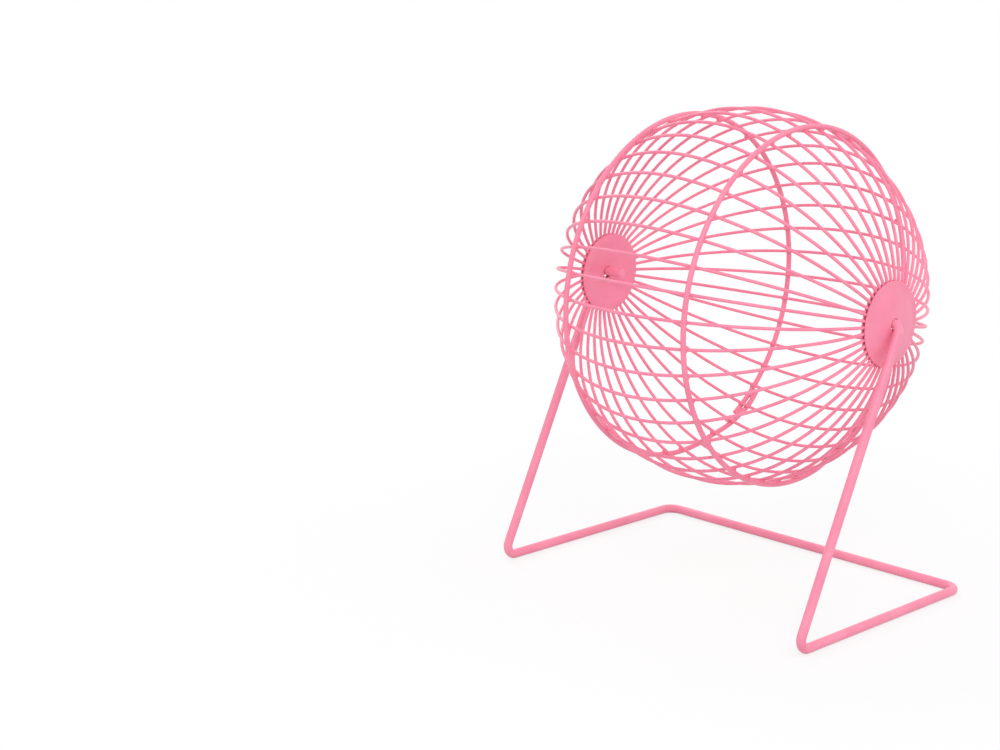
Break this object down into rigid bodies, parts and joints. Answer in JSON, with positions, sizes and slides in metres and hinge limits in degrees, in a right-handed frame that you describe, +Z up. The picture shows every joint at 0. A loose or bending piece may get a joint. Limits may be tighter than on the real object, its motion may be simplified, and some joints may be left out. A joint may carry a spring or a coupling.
{
  "type": "rodent exercise wheel",
  "caption": "Ball-shaped wire running wheel for small rodents, spinning on stub axles of a stand bent from one steel rod.",
  "frame": {"origin": "on the floor, straight below the wheel's centre", "axes": "+Z up, Y along the axle, -X the side that the legs slope down to, +X the back bar's side"},
  "size_m": [0.2152, 0.2224, 0.2749],
  "materials": {
    "stand_paint": "gloss",
    "wire_paint": "gloss",
    "disc_paint": "gloss"
  },
  "bodies": {
    "stand": {"stand_rod": "stand_paint"},
    "wheel": {"rib_01": "wire_paint", "rib_02": "wire_paint", "rib_03": "wire_paint", "rib_04": "wire_paint", "rib_05": "wire_paint", "rib_06": "wire_paint", "rib_07": "wire_paint", "rib_08": "wire_paint", "rib_09": "wire_paint", "rib_10": "wire_paint", "rib_11": "wire_paint", "rib_12": "wire_paint", "rib_13": "wire_paint", "rib_14": "wire_paint", "rib_15": "wire_paint", "rib_16": "wire_paint", "rib_17": "wire_paint", "rib_18": "wire_paint", "rib_19": "wire_paint", "rib_20": "wire_paint", "rib_21": "wire_paint", "rib_22": "wire_paint", "rib_23": "wire_paint", "rib_24": "wire_paint", "rib_25": "wire_paint", "rib_26": "wire_paint", "rib_27": "wire_paint", "rib_28": "wire_paint", "rib_29": "wire_paint", "rib_30": "wire_paint", "rib_31": "wire_paint", "rib_32": "wire_paint", "rib_33": "wire_paint", "rib_34": "wire_paint", "rib_35": "wire_paint", "rib_36": "wire_paint", "rib_37": "wire_paint", "rib_38": "wire_paint", "rib_39": "wire_paint", "rib_40": "wire_paint", "rib_41": "wire_paint", "rib_42": "wire_paint", "hoop_left": "wire_paint", "hoop_right": "wire_paint", "outer_disc_left": "disc_paint", "outer_disc_right": "disc_paint", "inner_disc_left": "disc_paint", "inner_disc_right": "disc_paint"}
  },
  "joints": [
    {"name": "wheel_spin", "type": "hinge", "parent": "stand", "child": "wheel", "pos_m": [0, 0, 0.1672], "axis": [0, 1, 0], "continuous": true}
  ]
}
